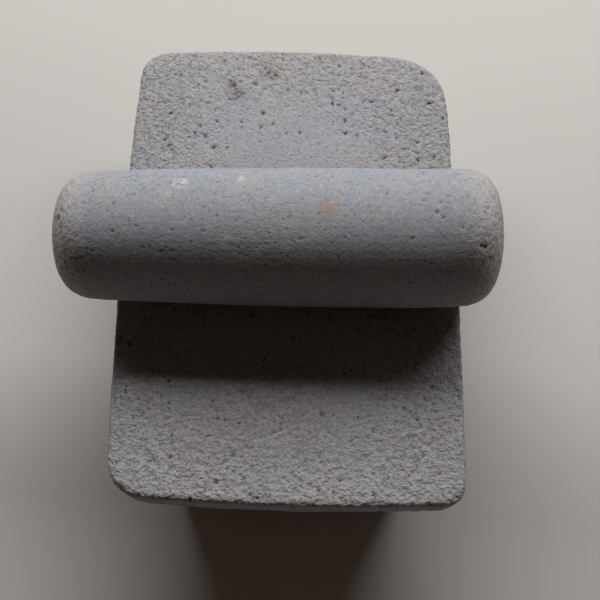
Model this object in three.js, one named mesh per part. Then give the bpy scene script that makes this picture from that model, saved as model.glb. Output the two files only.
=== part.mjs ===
// Saddle quern: a dished grinding slab of grey volcanic stone and the loose roller that is pushed over it.
// Millimetres, +Z up. X runs across the slab and along the roller, +Y runs to the far end of the slab.
// The origin is the middle of the flat foot, on the ground.
import * as THREE from "three";

// Slab: the plan of its widest line, as four corners joined by slightly bowed sides.
// reach is how far the rounding of a corner runs back along its two sides.
// bow is how far the side that follows a corner stands out at its middle.
const SLAB_CORNERS = [
  { x: -107.4, y: 161.0, reach: 25, bow: 2.2 },
  { x: 105.0, y: 160.4, reach: 46, bow: 2.2 },
  { x: 107.0, y: -160.5, reach: 17, bow: 2.4 },
  { x: -103.6, y: -159.9, reach: 29, bow: 3.4 },
];
const SLAB_HALF_WIDTH = 107;
const SLAB_HALF_LENGTH = 162;
const OUTLINE_STEPS = 12;

// Slab: heights above the ground.
const RIM_HEIGHT = 90;
const SADDLE_DEPTH = 6;
const SADDLE_LOW_Y = -7;
const LIP_UNDERSIDE = 70;

// Slab: edges and the plain body under the lip, which tapers to the foot.
const RIM_EDGE_RADIUS = 3.5;
const LIP_LEAN = 2;
const LIP_UNDERCUT = 6;
const LIP_UNDERCUT_RISE = 5;
const FOOT_INSET_X = 27;
const FOOT_INSET_Y = 32;
const FOOT_EDGE_RADIUS = 6;
const FLANK_HOLLOW = 1.2;
const FLANK_STEPS = 5;
const EDGE_STEPS = 3;
const TOP_RING_SCALES = [0.9, 0.8, 0.68, 0.55, 0.41, 0.27, 0.13];

// Roller: a tapered barrel, thickest right of its middle, with domed ends.
const ROLLER_LENGTH = 268.4;
const ROLLER_RADIUS = 42.2;
const ROLLER_THICKEST_X = 52;
const ROLLER_LEFT_TAPER = 2.8;
const ROLLER_LEFT_DOME = 30;
const ROLLER_RIGHT_DOME = 29;
const DOME_SQUARENESS = 3;
const DOME_STEPS = 9;
const BARREL_STEPS = 10;
const ROLLER_SEGMENTS = 56;
const ROLLER_END_LEAN = 1.8;
const ROLLER_LEAN_FROM = 78;

// Roller: where it lies, across the lowest line of the dish.
const ROLLER_X = -6.3;
const ROLLER_Y = SADDLE_LOW_Y;
const ROLLER_YAW = THREE.MathUtils.degToRad(0.2);
const RESTING_GAP = 0.3;

const SADDLE_LOW = RIM_HEIGHT - SADDLE_DEPTH;

// Height of the worn top: lowest under the roller, level again at both ends.
function saddleHeight(y) {
  const run = y > SADDLE_LOW_Y ? SLAB_HALF_LENGTH - SADDLE_LOW_Y : SLAB_HALF_LENGTH + SADDLE_LOW_Y;
  const share = Math.min(Math.abs(y - SADDLE_LOW_Y) / run, 1);
  return SADDLE_LOW + SADDLE_DEPTH * Math.sin((share * Math.PI) / 2) ** 2;
}

// Plan of the slab's widest line, as points that run counter-clockwise from above.
function slabOutline() {
  const corners = SLAB_CORNERS.map((c) => ({ ...c, at: new THREE.Vector2(c.x, c.y) }));
  const toward = (from, to, distance) => to.clone().sub(from).setLength(distance).add(from);
  const shape = new THREE.Shape();
  corners.forEach((corner, i) => {
    const before = corners.at(i - 1);
    const after = corners[(i + 1) % corners.length];
    const start = toward(corner.at, before.at, corner.reach);
    const end = toward(corner.at, after.at, corner.reach);
    const sideEnd = toward(after.at, corner.at, after.reach);
    const side = after.at.clone().sub(corner.at).normalize();
    const outward = new THREE.Vector2(-side.y, side.x);
    const bowControl = end.clone().add(sideEnd).multiplyScalar(0.5).addScaledVector(outward, 2 * corner.bow);
    if (i === 0) shape.moveTo(start.x, start.y);
    shape.quadraticCurveTo(corner.x, corner.y, end.x, end.y);
    shape.quadraticCurveTo(bowControl.x, bowControl.y, sideEnd.x, sideEnd.y);
  });
  return shape.getPoints(OUTLINE_STEPS).slice(0, -1).reverse();
}

// The outline drawn in by an inset, as a closed ring of points at the height that heightAt gives.
function insetRing(outline, insetX, insetY, heightAt) {
  return outline.map((p) => {
    const x = p.x * (1 - insetX / SLAB_HALF_WIDTH);
    const y = p.y * (1 - insetY / SLAB_HALF_LENGTH);
    return new THREE.Vector3(x, y, heightAt(y));
  });
}

// Body from the flat foot up to the underside of the lip: a rounded edge, then a slightly hollow slope.
function footAndFlankRings(outline) {
  const rings = [];
  for (let i = 0; i <= EDGE_STEPS; i++) {
    const angle = (i / EDGE_STEPS) * (Math.PI / 2);
    const extra = FOOT_EDGE_RADIUS * (1 - Math.sin(angle));
    const z = FOOT_EDGE_RADIUS * (1 - Math.cos(angle));
    rings.push(insetRing(outline, FOOT_INSET_X + extra, FOOT_INSET_Y + extra, () => z));
  }
  for (let i = 1; i <= FLANK_STEPS; i++) {
    const share = i / FLANK_STEPS;
    const hollow = FLANK_HOLLOW * Math.sin(share * Math.PI);
    const insetX = THREE.MathUtils.lerp(FOOT_INSET_X, LIP_UNDERCUT, share) + hollow;
    const insetY = THREE.MathUtils.lerp(FOOT_INSET_Y, LIP_UNDERCUT, share) + hollow;
    const z = THREE.MathUtils.lerp(FOOT_EDGE_RADIUS, LIP_UNDERSIDE - LIP_UNDERCUT_RISE, share);
    rings.push(insetRing(outline, insetX, insetY, () => z));
  }
  return rings;
}

// Lip: a dressed face that leans out from its level underside to the worn rim, which is rounded over.
function lipRings(outline) {
  const rings = [insetRing(outline, LIP_LEAN, LIP_LEAN, () => LIP_UNDERSIDE)];
  for (let i = 0; i <= EDGE_STEPS; i++) {
    const angle = (i / EDGE_STEPS) * (Math.PI / 2);
    const inset = RIM_EDGE_RADIUS * (1 - Math.cos(angle));
    const drop = RIM_EDGE_RADIUS * (1 - Math.sin(angle));
    rings.push(insetRing(outline, inset, inset, (y) => saddleHeight(y) - drop));
  }
  return rings;
}

// Worn top, as rings that shrink from the rim to the middle.
function topRings(outline) {
  return TOP_RING_SCALES.map((scale) =>
    outline.map((p) => new THREE.Vector3(p.x * scale, p.y * scale, saddleHeight(p.y * scale))),
  );
}

// Closed skin over a stack of rings, with a fan of triangles to a point at each end.
function skin(rings, firstPoint, lastPoint) {
  const count = rings[0].length;
  const points = [...rings.flat(), firstPoint, lastPoint];
  const first = points.length - 2;
  const last = points.length - 1;
  const topRing = (rings.length - 1) * count;
  const faces = [];
  for (let i = 0; i < count; i++) {
    const next = (i + 1) % count;
    faces.push(first, next, i);
    for (let r = 0; r < topRing; r += count) {
      faces.push(r + i, r + next, r + count + next);
      faces.push(r + i, r + count + next, r + count + i);
    }
    faces.push(last, topRing + i, topRing + next);
  }
  const geometry = new THREE.BufferGeometry().setFromPoints(points);
  geometry.setIndex(faces);
  geometry.computeVertexNormals();
  return geometry;
}

function slabGeometry() {
  const outline = slabOutline();
  const rings = [...footAndFlankRings(outline), ...lipRings(outline), ...topRings(outline)];
  return skin(rings, new THREE.Vector3(0, 0, 0), new THREE.Vector3(0, 0, saddleHeight(0)));
}

// Radius of the barrel at a distance along it from the middle.
function barrelRadius(x) {
  const leftRun = ROLLER_THICKEST_X + ROLLER_LENGTH / 2 - ROLLER_LEFT_DOME;
  return ROLLER_RADIUS - ROLLER_LEFT_TAPER * ((x - ROLLER_THICKEST_X) / leftRun) ** 2;
}

// Half of one domed end, from the axis out to the barrel, as a squared-off ellipse.
function domeProfile(tipX, depth, inwards) {
  return Array.from({ length: DOME_STEPS + 1 }, (_, i) => {
    const angle = (i / DOME_STEPS) * (Math.PI / 2);
    const x = tipX + inwards * depth * (1 - Math.cos(angle) ** (2 / DOME_SQUARENESS));
    const onAxis = i === 0;
    const radius = onAxis ? 0 : barrelRadius(x) * Math.sin(angle) ** (2 / DOME_SQUARENESS);
    return new THREE.Vector2(radius, x);
  });
}

// Uneven wear: towards its right tip the roller leans a little away from the user.
function leanRightEnd(points) {
  for (let i = 0; i < points.count; i++) {
    const share = THREE.MathUtils.smoothstep(points.getX(i), ROLLER_LEAN_FROM, ROLLER_LENGTH / 2);
    points.setY(i, points.getY(i) + ROLLER_END_LEAN * share);
  }
}

// Roller turned about its own length, which then lies along X.
function rollerGeometry() {
  const tip = ROLLER_LENGTH / 2;
  const barrelStart = -tip + ROLLER_LEFT_DOME;
  const barrelEnd = tip - ROLLER_RIGHT_DOME;
  const profile = domeProfile(-tip, ROLLER_LEFT_DOME, 1);
  for (let i = 1; i < BARREL_STEPS; i++) {
    const x = THREE.MathUtils.lerp(barrelStart, barrelEnd, i / BARREL_STEPS);
    profile.push(new THREE.Vector2(barrelRadius(x), x));
  }
  profile.push(...domeProfile(tip, ROLLER_RIGHT_DOME, -1).reverse());
  const geometry = new THREE.LatheGeometry(profile, ROLLER_SEGMENTS).rotateZ(-Math.PI / 2);
  leanRightEnd(geometry.attributes.position);
  geometry.computeVertexNormals();
  return geometry;
}

const weatheredStone = new THREE.MeshStandardMaterial({ color: 0x989492, roughness: 0.95, metalness: 0 });
const wornStone = new THREE.MeshStandardMaterial({ color: 0x8d8f94, roughness: 0.8, metalness: 0 });

const slab = new THREE.Mesh(slabGeometry(), weatheredStone);
slab.name = "quern_slab";

// The roller balances under its middle, so its thinner left end lies a little lower.
const roller = new THREE.Mesh(rollerGeometry(), wornStone);
const slope = (barrelRadius(1) - barrelRadius(-1)) / 2;
roller.name = "roller_stone";
roller.position.set(ROLLER_X, ROLLER_Y, SADDLE_LOW + barrelRadius(0) + RESTING_GAP);
roller.rotation.set(0, -Math.atan(slope), ROLLER_YAW);

const saddleQuern = new THREE.Group();
saddleQuern.add(slab, roller);

export default saddleQuern;
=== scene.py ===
import math

import bmesh
import bpy
import numpy as np
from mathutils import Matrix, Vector


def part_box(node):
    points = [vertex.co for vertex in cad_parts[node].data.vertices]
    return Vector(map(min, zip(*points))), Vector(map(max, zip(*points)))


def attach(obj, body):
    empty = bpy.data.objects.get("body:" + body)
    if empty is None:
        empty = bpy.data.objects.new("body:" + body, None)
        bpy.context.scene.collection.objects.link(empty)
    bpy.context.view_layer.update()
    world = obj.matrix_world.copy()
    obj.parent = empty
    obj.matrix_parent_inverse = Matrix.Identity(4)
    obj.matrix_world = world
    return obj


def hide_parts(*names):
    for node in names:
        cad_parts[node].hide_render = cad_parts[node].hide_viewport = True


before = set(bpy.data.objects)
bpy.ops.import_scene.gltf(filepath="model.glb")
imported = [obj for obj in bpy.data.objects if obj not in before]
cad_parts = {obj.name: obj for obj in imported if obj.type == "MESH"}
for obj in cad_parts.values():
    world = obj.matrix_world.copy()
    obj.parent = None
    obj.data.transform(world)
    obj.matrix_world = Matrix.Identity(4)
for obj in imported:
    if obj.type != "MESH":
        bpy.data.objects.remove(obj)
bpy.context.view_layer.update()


# Quern slab: one block of grey, finely porous volcanic stone, pecked to shape with a hammerstone.
# The roller has worn its top to a shallow saddle, smoothest along the middle. The rim, lip and sides
# keep the pecking, and the flat foot lies on the ground.
MM = 0.001


def bake(piece):
    """Turns what a piece's modifiers give into its plain mesh."""
    depsgraph = bpy.context.evaluated_depsgraph_get()
    made = piece.evaluated_get(depsgraph)
    mesh = bpy.data.meshes.new_from_object(made, preserve_all_data_layers=True, depsgraph=depsgraph)
    piece.modifiers.clear()
    piece.data = mesh


def rough_block(node_name, piece_name, face_mm, easing):
    """The block of a CAD node, as an even skin of small faces that can carry the relief of stone."""
    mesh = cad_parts[node_name].data.copy()
    shell = bmesh.new()
    shell.from_mesh(mesh)
    bmesh.ops.remove_doubles(shell, verts=shell.verts, dist=0.001 * MM)
    shell.to_mesh(mesh)
    shell.free()
    mesh.materials.clear()
    block = bpy.data.objects.new(piece_name, mesh)
    bpy.context.scene.collection.objects.link(block)
    skin = block.modifiers.new("even skin", "REMESH")
    skin.mode = "VOXEL"
    skin.voxel_size = face_mm * MM
    skin.use_smooth_shade = True
    eased = block.modifiers.new("eased facets", "SMOOTH")
    eased.factor = 0.5
    eased.iterations = easing
    bake(block)
    return block


def points_mm(piece):
    """The places of a piece's points, in millimetres."""
    flat = np.empty(3 * len(piece.data.vertices), np.float32)
    piece.data.vertices.foreach_get("co", flat)
    return flat.reshape(-1, 3) / MM


def normals(piece):
    """The outward direction at each point of a piece."""
    flat = np.empty(3 * len(piece.data.vertices), np.float32)
    piece.data.vertex_normals.foreach_get("vector", flat)
    return flat.reshape(-1, 3)


def keep(piece, name, values):
    """Keeps one number for each point of a piece, for its relief and its colour to read."""
    piece.data.attributes.new(name, "FLOAT", "POINT").data.foreach_set("value", values.astype(np.float32))


def ramp(values, start, end):
    """0 before start, 1 after end, and smooth between them."""
    share = np.clip((values - start) / (end - start), 0, 1)
    return share * share * (3 - 2 * share)


def spots(points, marks):
    """1 in the middle of each mark, given as (x, y, radius) seen from above, falling to 0 at its edge."""
    strength = np.zeros(len(points))
    for x, y, radius in marks:
        away = np.hypot(points[:, 0] - x, points[:, 1] - y)
        strength = np.maximum(strength, 1 - ramp(away, 0, radius))
    return strength


def add(tree, kind, inputs={}, **settings):
    """Adds one node to a tree. Each input is a plain value, or the socket that feeds it."""
    made = tree.nodes.new(kind)
    for name, value in settings.items():
        setattr(made, name, value)
    for name, value in inputs.items():
        if isinstance(value, bpy.types.NodeSocket):
            tree.links.new(value, made.inputs[name])
        else:
            made.inputs[name].default_value = value
    return made


def linear(hex_colour):
    """An sRGB hex colour as the linear one that Blender's shaders take."""
    shares = [int(hex_colour[i:i + 2], 16) / 255 for i in (1, 3, 5)]
    return (*[s / 12.92 if s <= 0.04045 else ((s + 0.055) / 1.055) ** 2.4 for s in shares], 1.0)


# Relief of worked stone, cut inwards from the block: broad swells, hammer pecks, a crumbly grain that
# leaves small plateaus, and open pores. The worn attribute says where use has ground pecks and grain down,
# and pit where one deep hollow is. The hollow attribute says where the colour is darkened, as dirt and as
# painted shade.
relief = bpy.data.node_groups.new("Relief of worked stone", "GeometryNodeTree")
relief.interface.new_socket("Geometry", in_out="INPUT", socket_type="NodeSocketGeometry")
relief.interface.new_socket("Geometry", in_out="OUTPUT", socket_type="NodeSocketGeometry")
relief_inputs = {}
for name, kind in (
    ("Stone", "NodeSocketMaterial"),
    ("Pattern Place", "NodeSocketVector"),
    ("Proud Height", "NodeSocketFloat"),
    ("Swell Size", "NodeSocketFloat"),
    ("Swell Depth", "NodeSocketFloat"),
    ("Peck Size", "NodeSocketFloat"),
    ("Peck Depth", "NodeSocketFloat"),
    ("Crumb Size", "NodeSocketFloat"),
    ("Crumb Depth", "NodeSocketFloat"),
    ("Pore Spacing", "NodeSocketFloat"),
    ("Pore Radius", "NodeSocketFloat"),
    ("Pore Depth", "NodeSocketFloat"),
    ("Pit Depth", "NodeSocketFloat"),
):
    relief_inputs[name] = relief.interface.new_socket(name, in_out="INPUT", socket_type=kind).identifier

given = add(relief, "NodeGroupInput").outputs
here = add(relief, "GeometryNodeInputPosition").outputs[0]
place = add(relief, "ShaderNodeVectorMath", {
    0: here, 1: given["Pattern Place"]}, operation="ADD").outputs[0]
mark = {
    name: add(relief, "GeometryNodeInputNamedAttribute", {
        "Name": name}, data_type="FLOAT").outputs["Attribute"]
    for name in ("worn", "pit")
}
cells = {
    name: add(relief, "ShaderNodeVectorMath", {0: place, 1: given[name]}, operation="DIVIDE").outputs[0]
    for name in ("Swell Size", "Peck Size", "Crumb Size", "Pore Spacing")
}

swell = add(relief, "ShaderNodeTexNoise", {
    "Vector": cells["Swell Size"], "Scale": 1.0, "Detail": 1.0}).outputs[0]
peck_away = add(relief, "ShaderNodeTexVoronoi", {
    "Vector": cells["Peck Size"], "Scale": 1.0, "Smoothness": 0.6}, feature="SMOOTH_F1").outputs["Distance"]
peck = add(relief, "ShaderNodeMapRange", {"Value": peck_away, "From Min": 0.9, "From Max": 0.0}).outputs[0]

# Crumbs: what is below a level of the noise has broken out. The level is lower where the stone is worn.
crumb_noise = add(relief, "ShaderNodeTexNoise", {
    "Vector": cells["Crumb Size"], "Scale": 1.0, "Detail": 3.0, "Roughness": 0.65}).outputs[0]
crumb_level = add(relief, "ShaderNodeMath", {
    0: mark["worn"], 1: -0.14, 2: 0.60}, operation="MULTIPLY_ADD").outputs[0]
crumb_floor = add(relief, "ShaderNodeMath", {0: crumb_level, 1: 0.24}, operation="SUBTRACT").outputs[0]
crumb = add(relief, "ShaderNodeMapRange", {
    "Value": crumb_noise, "From Min": crumb_level, "From Max": crumb_floor},
    interpolation_type="SMOOTHSTEP").outputs[0]

# Pores: one in each cell, most of them small, with an edge that a finer noise breaks up.
ragged = add(relief, "ShaderNodeTexNoise", {
    "Vector": cells["Pore Spacing"], "Scale": 3.0, "Detail": 1.0}).outputs["Color"]
pore_place = add(relief, "ShaderNodeVectorMath", {
    0: ragged, 1: (1.0, 1.0, 1.0), 2: cells["Pore Spacing"]}, operation="MULTIPLY_ADD").outputs[0]
pore_cell = add(relief, "ShaderNodeTexVoronoi", {"Vector": pore_place, "Scale": 1.0}, feature="F1").outputs
pore_chance = add(relief, "ShaderNodeSeparateXYZ", {0: pore_cell["Color"]}).outputs["X"]
largest = add(relief, "ShaderNodeMath", {
    0: given["Pore Radius"], 1: given["Pore Spacing"]}, operation="DIVIDE").outputs[0]
pore_radius = add(relief, "ShaderNodeMapRange", {
    "Value": pore_chance, "From Min": 0.3, "From Max": 1.0, "To Min": 0.01, "To Max": largest}).outputs[0]
pore_share = add(relief, "ShaderNodeMath", {
    0: pore_cell["Distance"], 1: pore_radius}, operation="DIVIDE").outputs[0]
pore = add(relief, "ShaderNodeMapRange", {
    "Value": pore_share, "From Min": 1.0, "From Max": 0.4}, interpolation_type="SMOOTHSTEP").outputs[0]

# Wear takes most of the pecks and crumbs away, and leaves the swells, pores and pits.
fresh = add(relief, "ShaderNodeMath", {
    0: mark["worn"], 1: -0.7, 2: 1.0}, operation="MULTIPLY_ADD").outputs[0]
cut = add(relief, "ShaderNodeMath", {
    0: given["Proud Height"], 1: -1.0}, operation="MULTIPLY").outputs[0]
for pattern, depth in ((peck, "Peck Depth"), (crumb, "Crumb Depth")):
    cut = add(relief, "ShaderNodeMath", {
        0: pattern, 1: given[depth], 2: cut}, operation="MULTIPLY_ADD").outputs[0]
cut = add(relief, "ShaderNodeMath", {0: cut, 1: fresh}, operation="MULTIPLY").outputs[0]
for pattern, depth in ((swell, "Swell Depth"), (pore, "Pore Depth"), (mark["pit"], "Pit Depth")):
    cut = add(relief, "ShaderNodeMath", {
        0: pattern, 1: given[depth], 2: cut}, operation="MULTIPLY_ADD").outputs[0]

# The foot stays flat where it lies on the ground.
height = add(relief, "ShaderNodeSeparateXYZ", {0: here}).outputs["Z"]
off_ground = add(relief, "ShaderNodeMapRange", {
    "Value": height, "From Min": 0.3 * MM, "From Max": 3 * MM, "To Min": 0.0, "To Max": -1.0}).outputs[0]
inward = add(relief, "ShaderNodeMath", {0: cut, 1: off_ground}, operation="MULTIPLY").outputs[0]
outward = add(relief, "GeometryNodeInputNormal").outputs[0]
step = add(relief, "ShaderNodeVectorMath", {0: outward, "Scale": inward}, operation="SCALE").outputs[0]
# Hollow: where the colour darkens crumbs, pores and pits, as dirt and as painted shade.
broken = add(relief, "ShaderNodeMath", {0: crumb, 1: fresh}, operation="MULTIPLY").outputs[0]
hollow = add(relief, "ShaderNodeMath", {0: broken, 1: 0.3}, operation="MULTIPLY").outputs[0]
for pattern in (pore, mark["pit"]):
    hollow = add(relief, "ShaderNodeMath", {0: hollow, 1: pattern}, operation="MAXIMUM").outputs[0]
marked = add(relief, "GeometryNodeStoreNamedAttribute", {
    "Geometry": given["Geometry"], "Name": "hollow", "Value": hollow},
    data_type="FLOAT", domain="POINT").outputs[0]
carved = add(relief, "GeometryNodeSetPosition", {"Geometry": marked, "Offset": step}).outputs[0]
whole = add(relief, "GeometryNodeRealizeInstances", {0: carved}).outputs[0]
finished = add(relief, "GeometryNodeSetMaterial", {
    "Geometry": whole, "Material": given["Stone"]}).outputs[0]
add(relief, "NodeGroupOutput", {"Geometry": finished})


def carve(piece, stone, pattern_place_mm, sizes_mm):
    """Cuts the relief of worked stone into a piece. The sizes are named as the tree's inputs are."""
    modifier = piece.modifiers.new("relief", "NODES")
    modifier.node_group = relief
    modifier[relief_inputs["Stone"]] = stone
    modifier[relief_inputs["Pattern Place"]] = [value * MM for value in pattern_place_mm]
    for name, size in sizes_mm.items():
        modifier[relief_inputs[name]] = size * MM


# Andesite: a dull grey ground of fine crystals with some pale and dark grains. It is bluish where use has
# ground it and warm with dust where it was only pecked, and its hollows are darkened brown, as dirt and as
# painted shade.
def stone_material(name, ground, worn_ground, dusty_ground, dirt_and_painted_shade, stain_and_painted_shade, roughness, bump_mm):
    """Stone of the given grounds. Its grain is drawn at 1.6 mm, coarser than real, so that it shows."""
    stone = bpy.data.materials.new(name)
    stone.use_nodes = True
    tree = stone.node_tree
    shader = tree.nodes["Principled BSDF"]
    where = add(tree, "ShaderNodeTexCoord").outputs["Object"]
    mark = {
        key: add(tree, "ShaderNodeAttribute", attribute_name=key).outputs["Fac"]
        for key in ("worn", "dusty", "hollow", "stain_and_painted_shade", "scuff")
    }
    noise = {
        key: add(tree, "ShaderNodeTexNoise", {
            "Vector": where, "Scale": 1 / (size_mm * MM), "Detail": detail, "Roughness": 0.6}).outputs[0]
        for key, size_mm, detail in (
            ("cloud", 32, 3.0),
            ("dust", 12, 4.0),
            ("fleck", 5.5, 3.0),
            ("blotch", 3.4, 3.0),
            ("grain", 1.6, 2.0),
        )
    }
    colour = linear(ground)
    for pattern, start, end, where_marked, tint in (
        ("cloud", 0.35, 0.65, None, dusty_ground),
        ("dust", 0.30, 0.60, "worn", worn_ground),
        ("dust", 0.20, 0.50, "dusty", "#b1adab"),
        ("grain", 0.58, 0.78, None, "#b4b1ae"),
        ("grain", 0.42, 0.24, None, "#716b69"),
        ("blotch", 0.58, 0.76, None, "#a8a6a6"),
        ("blotch", 0.42, 0.26, None, "#7b7878"),
        ("fleck", 0.58, 0.72, None, "#a2938c"),
        # Stains. On the slab this also lays the painted shadow in front of the roller.
        ("blotch", 0.40, 0.56, "stain_and_painted_shade", stain_and_painted_shade),
        ("blotch", 0.40, 0.62, "scuff", "#c9c8c5"),
        # Hollows: dirt, and painted shade where the recesses fall into shadow.
        ("grain", 0.95, 0.45, "hollow", dirt_and_painted_shade),
    ):
        cover = add(tree, "ShaderNodeMapRange", {
            "Value": noise[pattern], "From Min": start, "From Max": end}).outputs[0]
        if where_marked:
            cover = add(tree, "ShaderNodeMath", {
                0: cover, 1: mark[where_marked]}, operation="MULTIPLY").outputs[0]
        colour = add(tree, "ShaderNodeMix", {
            0: cover, 6: colour, 7: linear(tint)}, data_type="RGBA").outputs[2]
    tree.links.new(colour, shader.inputs["Base Color"])
    shader.inputs["Roughness"].default_value = roughness
    shader.inputs["IOR"].default_value = 1.5

    plateau = add(tree, "ShaderNodeMapRange", {
        "Value": noise["grain"], "From Min": 0.25, "From Max": 0.62},
        interpolation_type="SMOOTHSTEP").outputs[0]
    fresh = add(tree, "ShaderNodeMath", {
        0: mark["worn"], 1: -0.5, 2: 1.0}, operation="MULTIPLY_ADD").outputs[0]
    fine = add(tree, "ShaderNodeBump", {
        "Height": plateau, "Strength": fresh, "Distance": bump_mm * MM}).outputs[0]
    tree.links.new(fine, shader.inputs["Normal"])
    return stone


# Pecked andesite: pale, matte and rough to the eye, with its pores darkened by dirt and painted shade, and
# dark brown stains, which in front of the roller also carry painted shadow.
pecked_andesite = stone_material(
    "Pecked andesite", ground="#9c9ba1", worn_ground="#98999f", dusty_ground="#a29e9d",
    dirt_and_painted_shade="#453c39", stain_and_painted_shade="#644f49", roughness=0.95, bump_mm=0.5)

slab = rough_block("quern_slab", "quern_slab_stone", face_mm=1.0, easing=4)
at = points_mm(slab)
out = normals(slab)
on_top = ramp(out[:, 2], 0.75, 0.95) * ramp(at[:, 2], 60, 70)
from_middle = np.abs(at[:, 0] + 5)
worn_strip = (1 - ramp(from_middle, 20, 85)) * (1 - ramp(np.abs(at[:, 1]), 90, 150))
keep(slab, "worn", np.where(on_top > 0.5, 0.85 * worn_strip, 0.35))
keep(slab, "dusty", 0.5 * ramp(np.abs(at[:, 1]), 128, 160))
keep(slab, "pit", on_top * spots(at, [
    (-59.4, 90.9, 2.4), (-52.9, 82.6, 2.8), (-63.2, 98.6, 1.8), (-51.9, 102.8, 1.8),
    (-20.9, 109.8, 2.4), (34.9, 104.7, 2.0), (-86.9, 88.0, 2.2), (-83.2, 83.4, 2.2),
    (-81.0, 80.4, 2.0), (83.8, 75.6, 2.0), (94.5, 77.4, 2.0), (-96.9, -60.4, 3.2),
    (-103.3, -57.8, 3.0), (-38.5, -149.3, 2.6), (-66.3, -134.8, 2.0), (-29.5, -132.7, 2.0),
    (33.2, -146.5, 2.2), (20.6, -152.8, 2.2),
]))

# The middle of the slab, on both sides of the roller, is tinted brown. In front of the roller the stronger
# tint is partly painted shadow, lengthening the roller's shadow in the middle.
middle_strip = 1 - ramp(np.abs(at[:, 0] + 15), 15, 85)
near_tint_and_painted_shadow = 0.45 * (1 - ramp(np.abs(at[:, 1] + 95), 15, 60))
far_brown_tint = 0.2 * (1 - ramp(np.abs(at[:, 1] - 50), 15, 40))
tint_and_painted_shadow = middle_strip * (near_tint_and_painted_shadow + far_brown_tint)
stains = spots(at, [(-41.5, 131.0, 9), (-40.0, 124.5, 9), (-19.0, 144.5, 7), (-15.0, 141.5, 7)])
keep(slab, "stain_and_painted_shade", on_top * np.maximum(stains, tint_and_painted_shadow))
keep(slab, "scuff", np.zeros(len(at)))
carve(slab, pecked_andesite, (310, 120, 450), {
    "Proud Height": 0.8,
    "Swell Size": 38, "Swell Depth": 1.1,
    "Peck Size": 5.8, "Peck Depth": 0.6,
    "Crumb Size": 2.6, "Crumb Depth": 0.9,
    "Pore Spacing": 4.4, "Pore Radius": 1.6, "Pore Depth": 1.2,
    "Pit Depth": 1.6,
})
sides = slab.vertex_groups.new(name="hidden sides")
sides.add(np.flatnonzero(on_top < 0.05).tolist(), 1.0, "REPLACE")
thinned = slab.modifiers.new("plainer hidden sides", "DECIMATE")
thinned.vertex_group = sides.name
thinned.ratio = 0.43
bake(slab)
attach(slab, "root")
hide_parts("quern_slab")


# Roller stone: the loose handstone that is pushed to and fro over the slab, of the same stone.
# Rolling has ground its barrel smooth and bluish. Its domed ends, held in the hands, are still pecked.
# Ground andesite: darker, bluer and smoother to the eye than the pecked stone, with one reddish stain and
# hollows darkened by dirt and painted shade.
ground_andesite = stone_material(
    "Ground andesite", ground="#909197", worn_ground="#8c9098", dusty_ground="#9a9794",
    dirt_and_painted_shade="#5c5553", stain_and_painted_shade="#9f8073", roughness=0.8, bump_mm=0.18)

roller = rough_block("roller_stone", "roller_stone_barrel", face_mm=1.0, easing=8)
roller_low, roller_high = (Vector(corner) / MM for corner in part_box("roller_stone"))
roller_middle = (roller_low + roller_high) / 2
at = points_mm(roller)
from_middle = np.abs(at[:, 0] - roller_middle.x)
facing_up = ramp(at[:, 2], roller_middle.z - 5, roller_middle.z + 5)
pecked_ends = 0.75 * ramp(from_middle, 98, 126)
pitted_front = 0.4 * spots(at, [(-14, -30, 46)])
keep(roller, "worn", 1 - pecked_ends - pitted_front)
keep(roller, "dusty", ramp(from_middle, 104, 128))
keep(roller, "pit", facing_up * spots(at, [
    (80.0, -0.3, 1.3), (77.1, -4.7, 1.3), (87.3, -5.8, 1.3), (91.5, -1.5, 1.1), (84.9, -12.2, 1.7),
    (88.7, -15.5, 1.2), (110.6, -29.0, 1.5), (112.9, -29.2, 1.7), (-133.5, -13.5, 1.8),
]))
keep(roller, "stain_and_painted_shade", facing_up * spots(at, [(22.9, -10.5, 10)]))
keep(roller, "scuff", facing_up * spots(at, [
    (-63.0, 7.1, 7), (-27.3, 11.2, 4), (-35.3, -27.4, 3), (35.1, -26.6, 1.6),
]))
carve(roller, ground_andesite, (770, 280, 900), {
    "Proud Height": 0.5,
    "Swell Size": 45, "Swell Depth": 0.7,
    "Peck Size": 6, "Peck Depth": 0.3,
    "Crumb Size": 2.5, "Crumb Depth": 0.5,
    "Pore Spacing": 3.5, "Pore Radius": 1.25, "Pore Depth": 0.45,
    "Pit Depth": 1.4,
})
bake(roller)
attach(roller, "root")
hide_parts("roller_stone")


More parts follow.
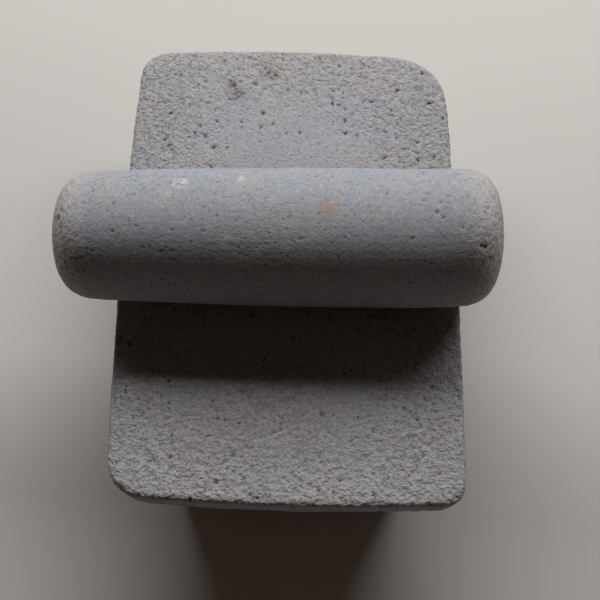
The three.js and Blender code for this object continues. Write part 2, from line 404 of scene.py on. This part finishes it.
# Studio: a plain pale floor, one long softbox behind and above, a weak warm fill and the camera at the
# user's end, which looks down as the photograph does.
FLOOR_HALF = 3.0
floor_mesh = bpy.data.meshes.new("Floor")
floor_corners = [(x * FLOOR_HALF, y * FLOOR_HALF, 0) for x, y in ((-1, -1), (1, -1), (1, 1), (-1, 1))]
floor_mesh.from_pydata(floor_corners, [], [(0, 1, 2, 3)])
floor = bpy.data.objects.new("floor", floor_mesh)
bpy.context.scene.collection.objects.link(floor)
pale_floor = bpy.data.materials.new("Pale matte floor")
pale_floor.use_nodes = True
pale_floor.node_tree.nodes["Principled BSDF"].inputs["Base Color"].default_value = linear("#bfbab4")
pale_floor.node_tree.nodes["Principled BSDF"].inputs["Roughness"].default_value = 0.9
floor_mesh.materials.append(pale_floor)

softbox = bpy.data.lights.new("Softbox", "AREA")
softbox.shape = "RECTANGLE"
softbox.size = 1.9
softbox.size_y = 0.47
softbox.energy = 21.5
softbox.color = (0.97, 0.985, 1.0)
softbox_stand = bpy.data.objects.new("Softbox", softbox)
bpy.context.scene.collection.objects.link(softbox_stand)
softbox_stand.location = (0.05, 0.743, 0.903)
softbox_aim = Vector((0, 0, 0.1)) - softbox_stand.location
softbox_stand.rotation_euler = softbox_aim.to_track_quat("-Z", "Y").to_euler()

surround = bpy.data.worlds.new("Studio surround")
surround.use_nodes = True
surround.node_tree.nodes["Background"].inputs["Color"].default_value = linear("#ffdac2")
surround.node_tree.nodes["Background"].inputs["Strength"].default_value = 0.045
bpy.context.scene.world = surround
bpy.context.scene.view_settings.view_transform = "Standard"

CAMERA_RISE = math.radians(64.3)
CAMERA_TURN = math.radians(1.3)
camera_data = bpy.data.cameras.new("Camera")
camera_data.sensor_width = 36
camera_data.lens = 67.02
camera = bpy.data.objects.new("Camera", camera_data)
bpy.context.scene.collection.objects.link(camera)
camera.location = (0.014303, -0.333674, 0.718284)
camera_back = Vector((
    math.sin(CAMERA_TURN) * math.cos(CAMERA_RISE),
    -math.cos(CAMERA_TURN) * math.cos(CAMERA_RISE),
    math.sin(CAMERA_RISE),
))
camera.rotation_euler = (-camera_back).to_track_quat("-Z", "Y").to_euler()
bpy.context.scene.camera = camera
